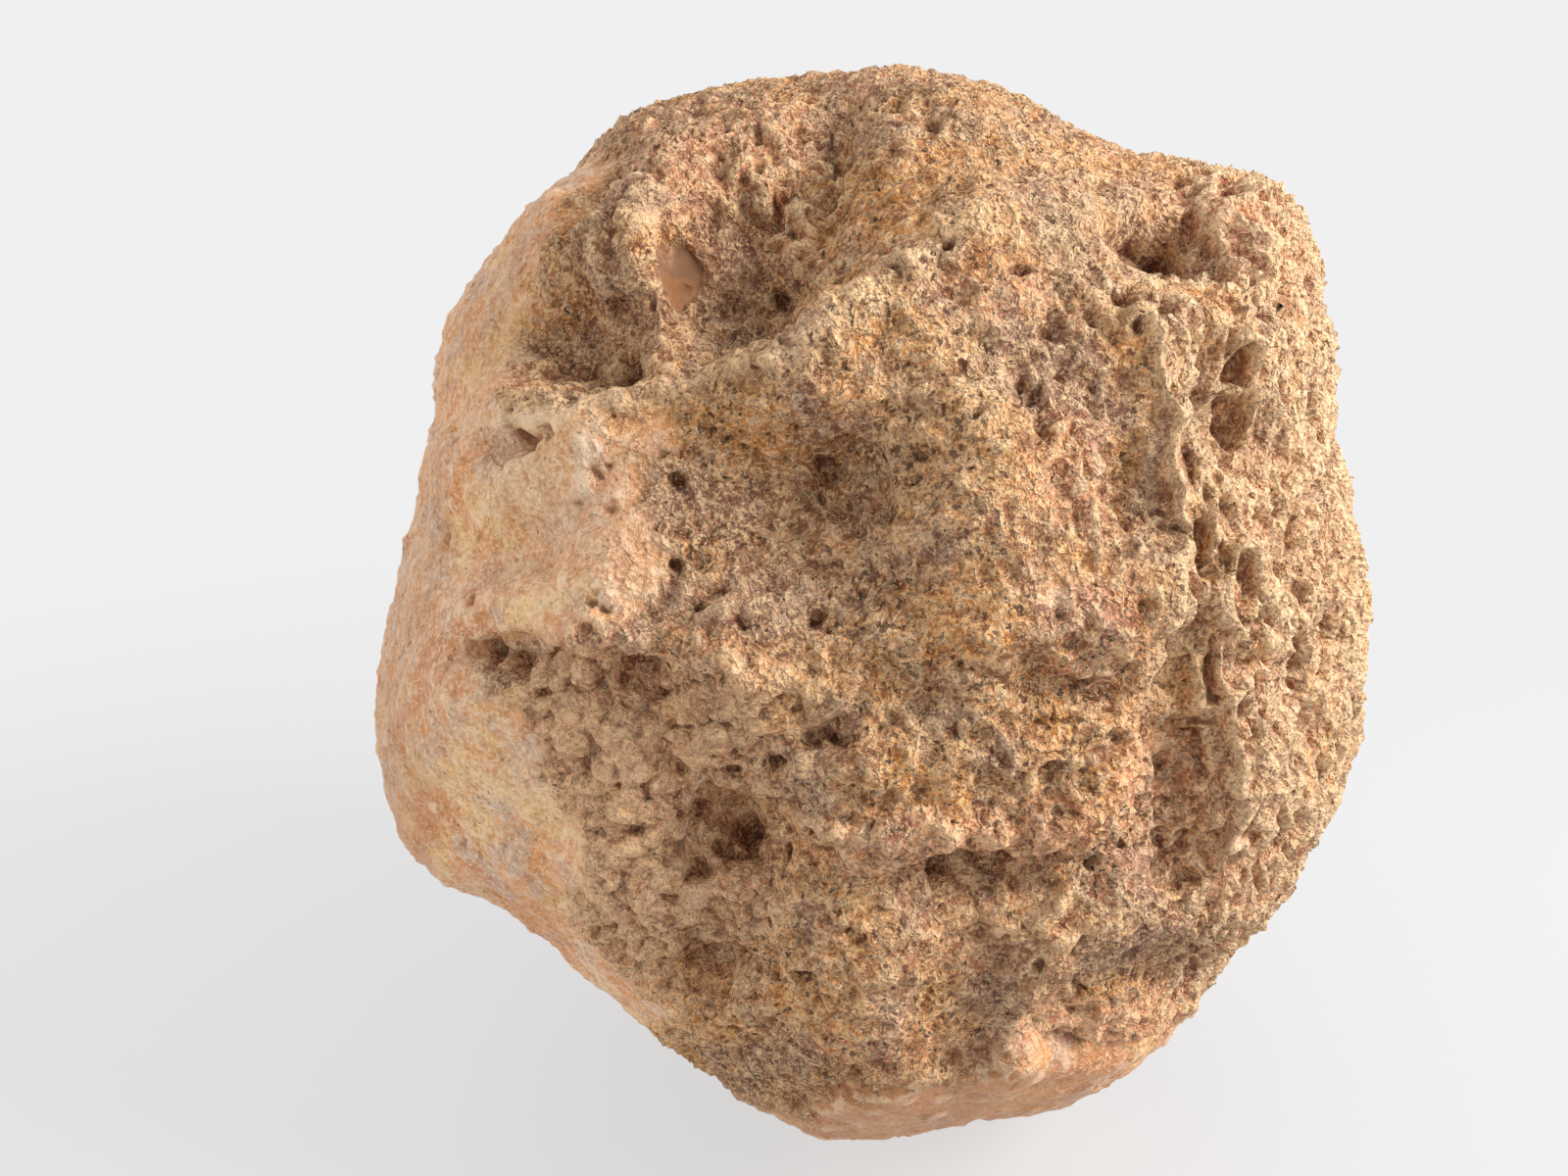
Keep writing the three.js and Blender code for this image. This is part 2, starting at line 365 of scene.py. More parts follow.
GREY = (
    (0.8, 650, 540, 44, 100, 0),
    (0.9, 1240, 420, 24, 62, -8),
    (0.8, 869, 545, 42, 30, 0),
    (0.7, 706, 504, 50, 34, 0),
    (0.8, 514, 584, 32, 22, 0),
    (0.6, 1300, 800, 26, 46, 0),
    (0.8, 819, 810, 34, 36, 20),
    (0.8, 1165, 972, 80, 24, -6),
    (0.6, 530, 480, 40, 50, 10),
    (0.8, 670, 205, 24, 18, 0),
    (0.5, 800, 560, 120, 50, 0),
    (0.4, 1080, 560, 60, 100, 0),
    (0.6, 1060, 200, 50, 36, 20),
    (0.5, 700, 290, 60, 40, 0),
    (0.5, 450, 650, 40, 80, 0),
    (0.4, 660, 770, 60, 60, 0),
)
RED = (
    (1, 730, 868, 50, 42, 0),
    (0.9, 528, 668, 56, 14, 8),
    (0.7, 729, 603, 22, 9, 0),
    (0.8, 655, 690, 32, 18, 0),
    (0.6, 713, 983, 28, 16, 0),
    (0.6, 720, 905, 40, 14, 0),
    (0.6, 845, 752, 26, 12, 0),
    (0.4, 1190, 262, 30, 14, 20),
    (0.5, 735, 668, 40, 10, 0),
    (0.4, 1060, 1060, 40, 18, 0),
)
# Painted shade: patches darkened in hollows, under ledges, on the top, at the foot and along the edges,
# with a few darker brown patches of the stone's own.
SHADE = (
    (0.3, 820, 560, 200, 120, 0),
    (0.5, 410, 790, 36, 150, -8),
    (0.5, 500, 960, 70, 60, -40),
    (0.4, 424, 590, 24, 150, 10),
    (0.4, 520, 300, 50, 100, 30),
    (0.55, 662, 530, 34, 100, 0),
    (0.85, 900, 1120, 260, 50, 0),
    (0.6, 820, 130, 240, 60, -4),
    (0.3, 560, 200, 90, 60, -40),
    (0.5, 760, 262, 66, 64, 0),
    (0.55, 608, 352, 66, 42, -20),
    (0.8, 850, 500, 66, 50, 0),
    (0.55, 770, 530, 110, 64, 0),
    (0.5, 531, 668, 66, 20, 0),
    (0.4, 740, 850, 60, 50, 0),
    (0.35, 719, 969, 56, 46, 0),
    (0.7, 984, 896, 66, 22, -4),
    (0.35, 965, 984, 56, 66, 0),
    (0.15, 1156, 969, 90, 28, -6),
    (0.3, 828, 703, 66, 30, 0),
    (0.3, 1078, 687, 70, 50, 0),
    (0.3, 875, 141, 66, 40, 0),
    (0.5, 1187, 262, 34, 18, 20),
    (0.3, 1060, 400, 50, 70, 0),
    (0.3, 1240, 920, 60, 40, -30),
    (0.3, 600, 250, 50, 50, 0),
)
# Painted light: patches lightened where the stone faces away from the lamps.
PAINTED_LIGHT = (
    (0.45, 1300, 560, 90, 330, 4),
    (0.4, 570, 760, 90, 130, -20),
    (0.5, 640, 900, 70, 90, -20),
    (0.5, 750, 715, 60, 34, 0),
    (0.6, 1335, 560, 46, 260, 4),
    (0.4, 560, 560, 80, 110, 8),
    (0.4, 1270, 700, 24, 160, 0),
    (0.3, 1180, 240, 110, 40, 28),
    (0.3, 990, 390, 60, 50, 0),
)
# Painted highlights along the crests of ridges, added to the painted light.
# strength, half width, path
PAINTED_HIGHLIGHTS = (
    (0.8, 22, ((484, 437), (560, 418), (660, 396), (740, 386), (820, 358), (880, 318), (940, 268),
               (1010, 240), (1094, 236))),
    (1, 17, ((1061, 250), (1120, 290), (1178, 340), (1202, 410), (1216, 470), (1246, 540))),
    (0.8, 14, ((1208, 500), (1196, 600), (1176, 720))),
    (0.6, 13, ((1172, 344), (1220, 340), (1300, 362))),
    (0.6, 20, ((1240, 530), (1264, 620), (1268, 740), (1262, 870))),
    (0.4, 14, ((1047, 860), (1060, 950), (1050, 1040))),
    (0.4, 12, ((1068, 966), (1124, 943), (1195, 932))),
    (0.4, 12, ((602, 429), (587, 477), (573, 519))),
    (0.4, 10, ((899, 426), (906, 456), (920, 508), (918, 564))),
    (0.4, 14, ((760, 676), (830, 700), (850, 740))),
)
# Where the crust is knobbly, like popcorn.
LUMPY = (
    (0.9, 600, 720, 90, 60, 0),
    (0.7, 640, 870, 80, 80, 0),
    (0.6, 700, 940, 90, 50, 0),
    (1, 728, 872, 44, 40, 0),
    (1, 528, 668, 56, 16, 8),
    (0.35, 985, 850, 80, 16, -8),
    (0.9, 655, 745, 120, 60, 0),
    (0.8, 700, 810, 110, 40, 0),
    (0.7, 1100, 1050, 70, 26, -8),
    (0.7, 700, 985, 60, 40, 0),
    (0.6, 800, 700, 80, 50, 0),
    (0.5, 860, 850, 60, 60, 0),
    (0.5, 1000, 940, 120, 60, 0),
    (0.5, 720, 610, 70, 30, 0),
)
# Where it is drawn out downwards into a coral of thin walls.
CORAL = (
    (0.8, 790, 180, 80, 64, -8),
    (0.7, 640, 265, 70, 90, 10),
    (0.8, 1190, 300, 90, 50, 30),
    (0.6, 1090, 380, 60, 70, 0),
    (0.6, 1140, 520, 70, 90, 0),
)
# Where it is a sponge of wide pits.
SPONGE = (
    (0.9, 1120, 770, 110, 150, 0),
    (0.7, 1060, 680, 70, 60, 0),
    (0.7, 1180, 900, 90, 50, -20),
    (0.6, 940, 460, 60, 60, 0),
    (0.6, 960, 780, 110, 60, 0),
    (0.5, 830, 960, 120, 90, 0),
    (0.6, 600, 370, 60, 40, 0),
    (0.5, 960, 150, 70, 50, 0),
    (0.6, 1050, 270, 60, 40, 0),
)
# The glassy brown chip at the upper left, and the height where its lower, more amber half begins.
CHIP = ((680, 243), (706, 246), (724, 268), (722, 290), (706, 308), (688, 300), (674, 284), (672, 260))
CHIP_SPLIT_Y = 274
# Where the pitted face turns into the steep right flank.
FLANK_FROM_X, FLANK_TO_X = 1130, 1250

# x, y, half width, half height, turn in degrees, depth in mm
CAVITIES = (
    (634, 372, 20, 13, -8, 5.0),
    (534, 448, 13, 9, 10, 2.2),
    (552, 441, 8, 7, 0, 1.8),
    (787, 304, 7, 9, 0, 4.5),
    (903, 266, 4, 4, 0, 3.5),
    (848, 488, 10, 9, 0, 3.0),
    (729, 603, 13, 7, 0, 2.5),
    (709, 621, 8, 5, 0, 2.0),
    (835, 630, 8, 8, 0, 2.4),
    (757, 635, 9, 7, 0, 2.0),
    (686, 578, 8, 6, 0, 1.8),
    (686, 486, 7, 6, 0, 1.6),
    (662, 686, 12, 9, 0, 1.4),
    (640, 694, 9, 7, 0, 1.0),
    (852, 749, 13, 7, 10, 4.0),
    (831, 755, 8, 6, 0, 3.2),
    (750, 785, 8, 6, 0, 2.0),
    (790, 778, 8, 7, 0, 2.2),
    (780, 822, 8, 7, 0, 2.2),
    (652, 840, 9, 7, 0, 2.0),
    (620, 847, 9, 6, 0, 2.0),
    (716, 884, 15, 14, 0, 1.4),
    (735, 862, 12, 11, 0, 1.6),
    (759, 850, 9, 13, 0, 2.2),
    (800, 871, 7, 6, 0, 2.4),
    (713, 983, 24, 15, 0, 1.8),
    (825, 990, 8, 4, 0, 3.0),
    (634, 935, 7, 6, 0, 1.8),
    (764, 1024, 7, 5, 0, 1.8),
    (802, 1024, 7, 5, 0, 1.8),
    (784, 1070, 24, 6, 0, 1.0),
    (966, 888, 11, 6, -20, 1.8),
    (990, 880, 12, 7, 16, 2.0),
    (1016, 893, 7, 5, 10, 1.6),
    (1110, 1015, 7, 5, 0, 2.4),
    (1063, 988, 7, 5, 0, 2.0),
    (1216, 904, 7, 7, 0, 2.2),
    (1023, 885, 7, 6, 0, 1.6),
    (1184, 253, 20, 10, 24, 2.6),
    (1193, 315, 14, 7, 20, 2.4),
    (1038, 275, 8, 6, 0, 2.0),
    (968, 264, 7, 6, 0, 1.8),
    (1047, 396, 7, 7, 0, 2.0),
    (1061, 435, 7, 6, 0, 2.2),
    (1058, 452, 7, 6, 0, 2.0),
    (1156, 340, 7, 8, 0, 2.0),
    (1142, 298, 8, 6, 0, 2.0),
    (944, 469, 7, 6, 0, 1.8),
    (946, 491, 6, 6, 0, 1.8),
    (1257, 517, 8, 8, 0, 3.6),
    (1287, 599, 6, 10, 0, 2.4),
    (1276, 677, 6, 10, 0, 2.4),
    (1296, 679, 6, 10, 0, 2.4),
    (1316, 713, 6, 9, 0, 2.4),
    (1313, 560, 8, 20, 0, 1.6),
    (628, 473, 5, 4, 0, 0.9),
    (613, 482, 4, 4, 0, 0.9),
    (589, 510, 4, 4, 0, 0.8),
    (626, 516, 5, 4, 0, 0.9),
    (454, 545, 4, 13, 0, 1.2),
    (481, 611, 5, 6, 0, 1.6),
    (608, 619, 5, 5, 0, 1.2),
    (620, 622, 5, 4, 0, 1.2),
    (604, 639, 4, 4, 0, 1.2),
    (815, 190, 9, 6, 0, 2.4),
    (772, 220, 9, 7, 0, 2.4),
    (810, 233, 9, 7, 0, 2.2),
    (952, 130, 12, 9, 0, 2.0),
    (505, 662, 12, 6, 8, 1.4),
    (530, 668, 12, 6, 8, 1.6),
    (556, 672, 12, 6, 8, 1.4),
)

# The larger swellings and hollows: height in mm, x, y, half width, half height, turn in degrees
FORMS = (
    (-2.2, 592, 345, 66, 42, -20),
    (-2.8, 745, 286, 62, 76, 0),
    (-1.6, 800, 190, 60, 44, 0),
    (2.0, 655, 240, 34, 70, 12),
    (1.4, 905, 190, 60, 70, 0),
    (-2.0, 862, 492, 66, 50, 0),
    (-1.8, 738, 500, 66, 64, 0),
    (2.2, 1000, 400, 90, 120, 0),
    (1.6, 985, 610, 80, 80, 0),
    (-2.6, 1190, 256, 52, 26, 22),
    (1.8, 1270, 250, 50, 60, 30),
    (-2.4, 1240, 420, 26, 60, -8),
    (-1.6, 1060, 430, 34, 70, -8),
    (-2.2, 1086, 692, 52, 38, 0),
    (-1.5, 1205, 770, 34, 130, 3),
    (1.6, 1120, 620, 50, 90, 0),
    (1.6, 1110, 810, 50, 60, 0),
    (-2.6, 735, 856, 62, 52, 0),
    (-2.2, 722, 985, 52, 32, 0),
    (1.8, 640, 840, 50, 90, 0),
    (-2.0, 985, 893, 58, 26, -3),
    (1.3, 975, 850, 90, 22, -6),
    (-1.6, 990, 1010, 50, 66, 0),
    (1.6, 890, 1000, 60, 80, 0),
    (-1.6, 1150, 992, 110, 36, -12),
    (-1.8, 1090, 1050, 60, 22, -8),
    (2.0, 750, 722, 66, 36, 0),
    (-2.0, 652, 692, 44, 26, 0),
    (-1.6, 528, 668, 60, 18, 8),
    (0.7, 620, 560, 60, 90, 8),
    (-1.4, 545, 520, 34, 60, 8),
    (1.6, 870, 800, 60, 60, 0),
    (-1.4, 840, 750, 46, 24, 0),
    (-1.2, 835, 625, 50, 40, 0),
    (-1.4, 520, 560, 50, 30, 0),
    (1.2, 480, 740, 50, 80, 0),
)
# height in mm, half width in px, then the path
RIDGES = (
    (2.2, 26, ((650, 398), (740, 388), (820, 358), (880, 318), (940, 268), (1010, 240),
               (1080, 246))),
    (1.6, 14, ((500, 440), (560, 424), (612, 410), (650, 396))),
    (1.3, 11, ((1061, 250), (1120, 290), (1178, 340), (1200, 410), (1208, 500), (1196, 600),
               (1176, 720))),
    (0.3, 10, ((1220, 470), (1246, 540), (1264, 620), (1268, 740), (1262, 870))),
    (1.3, 14, ((560, 642), (640, 650), (720, 652), (775, 668))),
    (1.3, 13, ((800, 250), (835, 290), (850, 330))),
    (1.4, 16, ((1080, 880), (1075, 960), (1035, 1040))),
    (1.0, 9, ((682, 668), (721, 664), (734, 677), (760, 677))),
    (0.9, 8, ((721, 689), (734, 723), (741, 750))),
    (1.1, 9, ((695, 762), (730, 755), (741, 726))),
    (0.8, 9, ((840, 836), (856, 840), (872, 852))),
    (0.8, 8, ((852, 880), (868, 872), (884, 880))),
    (1.0, 10, ((795, 243), (815, 258), (830, 284))),
    (0.9, 11, ((759, 424), (805, 419), (840, 405), (858, 394))),
    (0.8, 16, ((602, 429), (587, 477), (573, 519))),
    (0.6, 11, ((1049, 1022), (1080, 994), (1113, 972), (1152, 957), (1223, 955))),
    (0.5, 10, ((1068, 966), (1124, 943), (1195, 932))),
    (1.1, 12, ((1072, 330), (1120, 386), (1140, 440))),
    (1.2, 11, ((1184, 303), (1221, 317), (1271, 348), (1313, 348))),
)
# height in mm, width of the slope behind in px, then the path with the drop on its right
LEDGES = (
    (2.0, 90, ((1176, 720), (1196, 600), (1208, 500), (1202, 410), (1178, 340), (1120, 290),
               (1061, 250))),
    (0.5, 50, ((1262, 870), (1268, 740), (1264, 620), (1246, 540), (1220, 470))),
    (1.2, 60, ((899, 426), (906, 456), (920, 508), (918, 564))),
    (1.2, 90, ((1052, 1028), (1040, 1044), (1018, 1089), (958, 1085), (892, 1103), (846, 1121),
               (797, 1116), (759, 1111), (713, 1083))),
)
# depth in mm, half width in px, then the path
CRACKS = (
    (1.6, 4, ((848, 128), (853, 164), (852, 200), (843, 223))),
    (1.2, 4, ((729, 330), (732, 343), (738, 356))),
)

# The side away from the eye has the same kinds of surface, laid out by noise. The edge of the wax is
# blurred wide and then broken up by noise, so that crust and wax reach into each other.
WAX_BLUR, WAX_EDGE_BLUR = 150, 4
hidden = fractal(base, 46, 2, 21)
waxy = np.maximum(sum(inside(o) for o in WAXY), (1 - round_the_edge) * smooth(0.18, 0.3, hidden))
waxy = blur(waxy, WAX_BLUR)
waxy = smooth(0.15, 0.85, waxy + 0.5 * fractal(base, 4.5, 4, 65, 0.6))
waxy = blur(waxy, WAX_EDGE_BLUR)
pink = all_round(patches(PINK), 0.9, 0.05, 0.35, 34, 23)
ochre = all_round(patches(OCHRE), 0.8, 0.05, 0.4, 22, 25)
grey = all_round(patches(GREY), 0.8, 0.1, 0.45, 20, 27)
red = patches(RED)
lumpy = all_round(patches(LUMPY), 0.8, 0.1, 0.4, 24, 81)
sponge = all_round(patches(SPONGE), 0.8, 0.1, 0.4, 26, 83)
chip = blur(inside(CHIP, ragged=False) * front, 1)
chip_low = chip * smooth(-4, 4, view_y - CHIP_SPLIT_Y)
shade = patches(SHADE)
# Painted light, with painted highlights along the ridges added below.
painted_light = patches(PAINTED_LIGHT)
for strength, half, path in PAINTED_HIGHLIGHTS:
    away, _, _ = along(path)
    painted_light = np.maximum(painted_light, strength * front * smooth(1.6 * half, 0, away + 6 * perlin(base, 3, 29)))
rough = 1 - waxy

# ---------------------------------------------------------------- relief, in mm outwards

# Sizes of the relief's features in mm. The last whole number given to a noise is its seed.
LUMP, HIDDEN_FORM, HIDDEN_HOLLOW = 10, 20, 17
THREAD, UPRIGHT_THREAD, UPRIGHT_CHAMBER, SPONGE_CHAMBER = 3.6, 3.4, 2.6, 2.4
PIT, SMALL_PIT, BEAD, SMALL_BEAD = 2.9, 1.7, 2.7, 1.35
WAX_SWELL, WAX_GRAIN, WAX_BUMP, WAX_SPOT = 12, 3.0, 4.2, 5.0
HIDDEN_HOLLOW_DEPTH, HIDDEN_FORM_HEIGHT = 4.0, 1.6

flank = np.maximum(smooth(FLANK_FROM_X, FLANK_TO_X, view_x) * front, patches(CORAL))
flank = all_round(flank, 0.8, 0.1, 0.4, 30, 85)
warp = np.stack([perlin(base, 3.2, s) for s in (31, 32, 33)], axis=1)
fine_warp = np.stack([perlin(base, 1.3, s) for s in (34, 35, 36)], axis=1)


def ridged(points, size, octaves, seed, gain=0.6):
    """Sharp crests with rounded hollows between; each finer layer shows most on the crests of the last."""
    total, share, weight = 0, 1, 1
    for k in range(octaves):
        n = np.clip(1 - 1.25 * np.abs(perlin(points, size / 1.9**k, seed + k)), 0, 1) ** 2
        total = total + share * weight * n
        weight = np.clip(0.35 + n, 0, 1)
        share *= gain
    return total


def dents(points, size, low, high, seed, keep):
    """Round pits of many sizes scattered one to a cell, 0 to 1 deep, and the raised rims round them."""
    near, _, dice = cells(points, size, seed)
    own = low + (high - low) * dice**2
    there = dice < keep
    return smooth(own, 0.55 * own, near) * there, smooth(2.1 * own, 1.1 * own, near) * there


def chambers(points, size, seed, thick, deep=1):
    """Chambers of many depths with walls between them, 0 on the walls."""
    near, far, dice = cells(points, size, seed)
    return deep * smooth(0.02, thick, far - near) * smooth(0.0, 0.9, dice)


def balls(points, size, seed):
    """Round beads of many heights, one to a cell."""
    near, _, dice = cells(points, size, seed)
    return np.sqrt(np.clip(1 - (near / 0.8) ** 2, 0, 1)) * (0.6 + 0.8 * dice)


hollow = np.zeros(len(base))
ragged = 0.3 * warp[:, 0] + 0.25 * fine_warp[:, 0] + 0.3 * fractal(base, 5, 2, 71)
torn_x = view_x + 7 * warp[:, 1] + 5 * fine_warp[:, 1]
torn_y = view_y + 7 * warp[:, 2] + 5 * fine_warp[:, 2]
for x, y, half_x, half_y, turn, deep in CAVITIES:
    reach = ellipse(torn_x, torn_y, x, y, half_x, half_y, turn) + ragged
    # A hole's depth is limited by its width.
    deep = min(deep, 0.2 * min(half_x, half_y) + 0.5)
    bowl = smooth(1.3, 0.5, reach) + 0.25 * smooth(2.6, 1, reach)
    hollow = np.maximum(hollow, deep * front * bowl / 1.25)
near, _, dice = cells(base + 1.6 * warp, HIDDEN_HOLLOW, 73)
bowl = smooth(0.22, 0.1, near + 0.08 * ragged)
hollow = np.maximum(hollow, behind * (1 - 0.9 * waxy) * HIDDEN_HOLLOW_DEPTH * bowl * (dice > 0.3))
lumpy = np.maximum(lumpy, 0.8 * smooth(0.6, 1.6, hollow))
forms = behind * HIDDEN_FORM_HEIGHT * fractal(base, HIDDEN_FORM, 2, 91)
for high, x, y, half_x, half_y, turn in FORMS:
    forms += high * patch(x, y, half_x, half_y, turn, 0.85)
forms = blur(forms, 12)
lumps = 0.55 * fractal(base, LUMP, 3, 41) + forms
even = ridged(base + 0.35 * warp, THREAD, 4, 43)
tall = base * np.array((1, 1, 0.42)) + 0.4 * warp
upright = ridged(tall, UPRIGHT_THREAD, 4, 47, 0.62)
narrow = chambers(tall + 0.25 * fine_warp, UPRIGHT_CHAMBER, 48, 0.34)
threads = lerp(0.65 * (even - 0.8), 1.1 * (upright - 0.8) - 1.7 * narrow, flank)
crowd = smooth(-0.5, 0.6, perlin(base, 13, 49))
shaken = base + 0.45 * fine_warp + 0.35 * warp
dent, rim = dents(shaken, PIT, 0.12, 0.36, 51, 0.45 + 0.55 * crowd)
small_dent, small_rim = dents(shaken, SMALL_PIT, 0.16, 0.42, 52, 0.4 + 0.6 * crowd)
wide = chambers(shaken, SPONGE_CHAMBER, 53, 0.36, 1.25)
beads = balls(base + 0.5 * warp + 0.15 * fine_warp, BEAD, 59)
small_beads = balls(base + 0.3 * warp, SMALL_BEAD, 60)
spots, spot_rims = dents(base + 0.3 * warp, WAX_SPOT, 0.06, 0.2, 61, 0.7)
bumps, _ = dents(base + 0.5 * warp, WAX_BUMP, 0.2, 0.6, 67, 0.8)

pits = (1 - 0.6 * flank) * (0.9 * dent + 0.6 * small_dent - 0.14 * rim - 0.1 * small_rim)
wax_relief = 0.5 * fractal(base, WAX_SWELL, 3, 63) + 0.35 * fractal(base, WAX_GRAIN, 4, 66, 0.6)
wax_relief = wax_relief + 0.3 * bumps + 0.15 * spot_rims - 0.6 * spots
knobs = 1.8 * beads + 0.6 * small_beads - 1.25
plain = threads - pits + 0.3 * small_beads
crust = lerp(lerp(plain, plain - 0.8 * wide, sponge), 0.45 * plain + knobs, lumpy)
relief = rough * (lumps + crust) + waxy * (forms + wax_relief)

# Ridges, ledges and cracks run along their paths with broken, wandering edges.
for height, half, path in RIDGES:
    away, _, fade = along(path)
    broken = fade * (0.65 + 0.5 * warp[:, 2])
    relief += 0.8 * height * front * broken * smooth(1.7 * half, 0, away + 7 * warp[:, 0])
for height, back, path in LEDGES:
    away, side, fade = along(path)
    edge = 9 * warp[:, 0] + 5 * fine_warp[:, 0] - side
    relief += height * front * fade * smooth(-5, 5, edge) * smooth(back, 0, away)
for height, half, path in CRACKS:
    away, _, fade = along(path)
    relief -= height * front * fade * smooth(half, 0, away + 5 * warp[:, 1] + 3 * fine_warp[:, 1])

relief -= hollow
# The chip is smooth, with its lower half a little proud.
relief = lerp(relief, forms - 0.3 + 0.15 * smooth(-3, 3, view_y - CHIP_SPLIT_Y), chip)

# The face that the stone rests on stays flat.
relief *= smooth(0, 2.5, base[:, 2])
points = base + facing * relief[:, None]
points[:, 2] = np.maximum(points[:, 2], 0)

# The material paints highlights on crests and shade in low places from the first of these, and shade in the
# deep hollows from the second.
crest = relief - blur(relief, 25)     # mm above the surface round about, less than 0 in pits
hollow_shade = smooth(0.8, 3.2, hollow)       # 1 deep in the hollows


# ---------------------------------------------------------------- the mesh


def build_mesh(name):
    """The dense mesh, with the masks that the material reads."""
    mesh = bpy.data.meshes.new(name)
    mesh.from_pydata((points * MM).tolist(), [], quads.tolist())
    mesh.update()
    mesh.shade_smooth()
    masks = dict(
        waxy=waxy, pink=pink, ochre=ochre, grey=grey, red=red, crest=crest, hollow_shade=hollow_shade, flank=flank,
        shade=shade, painted_light=painted_light, chip=chip, chip_low=chip_low, lumpy=lumpy
    )
    for key, values in masks.items():
        layer = mesh.attributes.new(key, "FLOAT", "POINT")
        layer.data.foreach_set("value", values.astype(np.float32))
    layer = mesh.attributes.new("aim", "FLOAT_VECTOR", "POINT")
    layer.data.foreach_set("vector", aim.astype(np.float32).ravel())
    obj = bpy.data.objects.new(name, mesh)
    bpy.context.scene.collection.objects.link(obj)
    return obj


def thin_out(obj, triangles):
    """Collapses edges where the surface is plain, so that the count goes to pits and crests."""
    less = obj.modifiers.new("less", "DECIMATE")
    less.ratio = triangles / (2 * len(obj.data.polygons))
    less.use_collapse_triangulate = True
    done = bpy.data.meshes.new_from_object(obj.evaluated_get(bpy.context.evaluated_depsgraph_get()))
    obj.modifiers.clear()
    old = obj.data
    obj.data = done
    bpy.data.meshes.remove(old)


def lay_out(obj):
    """A UV map of six square charts, one to a side of a cube.

    Each triangle is on the chart of the side that its middle faces.
    """
    mesh = obj.data
    heading = np.empty(3 * len(mesh.vertices), np.float32)
    mesh.attributes["aim"].data.foreach_get("vector", heading)
    heading = heading.reshape(-1, 3) @ np.stack((ACROSS, UP, TO_EYE), axis=1)
    corners = np.empty(len(mesh.loops), np.int32)
    mesh.loops.foreach_get("vertex_index", corners)
    corner = heading[corners].reshape(-1, 3, 3)
    middle = corner.mean(axis=1)
    rows = np.arange(len(middle))
    axis = np.abs(middle).argmax(axis=1)
    main = np.abs(corner[rows, :, axis])
    u = corner[rows, :, (axis + 1) % 3] / main
    v = corner[rows, :, (axis + 2) % 3] / main
    below = (middle[rows, axis] < 0)[:, None]
    flat = np.stack(((axis[:, None] + 0.5 + u / CHART) / 3, (below + 0.5 + v / CHART) / 2), axis=2)
    layer = mesh.uv_layers.new(name="OFBake")
    layer.data.foreach_set("uv", flat.astype(np.float32).ravel())


stone = build_mesh("stone")
thin_out(stone, TRIANGLES)
lay_out(stone)
stone.data.shade_smooth()


# ---------------------------------------------------------------- the material

TONE = 1.15            # of every colour, to match the photograph's light
BRIGHTEST = 0.9        # that a colour channel may be
CRUST_ROUGHNESS, WAX_ROUGHNESS = 0.86, 0.42
BUMP_MM = 0.7


def linear(r, g, b):
    """A display colour of 0 to 255 as the shader wants it."""
    values = [((c / 255 + 0.055) / 1.055) ** 2.4 for c in (r, g, b)]
    gain = min(TONE, BRIGHTEST / max(values))
    return tuple(gain * v for v in values) + (1,)


material = bpy.data.materials.new("stone")
material.use_nodes = True
nodes, links = material.node_tree.nodes, material.node_tree.links
nodes.clear()


def put(socket, value):
    if isinstance(value, bpy.types.NodeSocket):
        links.new(value, socket)
    else:
        socket.default_value = value


def node(kind, settings=None, **inputs):
    """A shader node with its settings, and its inputs given as numbers or as other nodes' sockets."""
    made = nodes.new("ShaderNode" + kind)
    for key, value in (settings or {}).items():
        setattr(made, key, value)
    for key, value in inputs.items():
        put(made.inputs[key.replace("_", " ")], value)
    return made


def mask(name):
    return node("Attribute", dict(attribute_name=name)).outputs["Fac"]


def calc(operation, a, b=0.0, c=0.0):
    made = node("Math", dict(operation=operation))
    for socket, value in zip(made.inputs, (a, b, c)):
        put(socket, value)
    return made.outputs[0]


def span(value, low, high, to_low=0.0, to_high=1.0):
    """A smooth step from one number to another as a value goes from low to high."""
    made = node("MapRange", dict(interpolation_type="SMOOTHSTEP"))
    keys = ("Value", "From Min", "From Max", "To Min", "To Max")
    for key, v in zip(keys, (value, low, high, to_low, to_high)):
        put(made.inputs[key], v)
    return made.outputs[0]


def mix(factor, a, b):
    made = node("Mix", dict(data_type="RGBA"))
    put(made.inputs[0], factor)
    put(made.inputs[6], a)
    put(made.inputs[7], b)
    return made.outputs[2]


def coated(under, coats):
    """Colours laid one after another over a first one, each a tone, where it shows and how strongly."""
    for tone, where, strength in coats:
        under = mix(calc("MULTIPLY", where, strength), under, tone)
    return under


place = node("TexCoord").outputs["Object"]


def noise(size, detail=2.0, roughness=0.5, where=None):
    """Noise with features of a size in millimetres."""
    made = node("TexNoise", Scale=1 / (size * MM), Detail=detail, Roughness=roughness)
    put(made.inputs["Vector"], where or place)
    return made.outputs[0]


def crinkle(size, detail, roughness, where):
    """Thin winding crests with rounded hollows between them, from about 0 to 2."""
    made = node(
        "TexNoise", dict(noise_type="RIDGED_MULTIFRACTAL", normalize=False),
        Scale=1 / (size * MM), Detail=detail, Roughness=roughness, Offset=1.0, Gain=1.0
    )
    put(made.inputs["Vector"], where)
    return made.outputs[0]


def stretch(scale):
    """The place scaled, so that a noise is drawn out along an axis."""
    made = node("Mapping", Scale=scale)
    put(made.inputs["Vector"], place)
    return made.outputs[0]


def jostle(amount, size):
    """The place moved about by noise, so that crests wander."""
    made = node("TexNoise", Scale=1 / (size * MM), Detail=0.5)
    put(made.inputs["Vector"], place)
    shift = node("VectorMath", dict(operation="MULTIPLY_ADD"))
    put(shift.inputs[0], made.outputs["Color"])
    put(shift.inputs[1], (amount * MM,) * 3)
    put(shift.inputs[2], place)
    return shift.outputs[0]


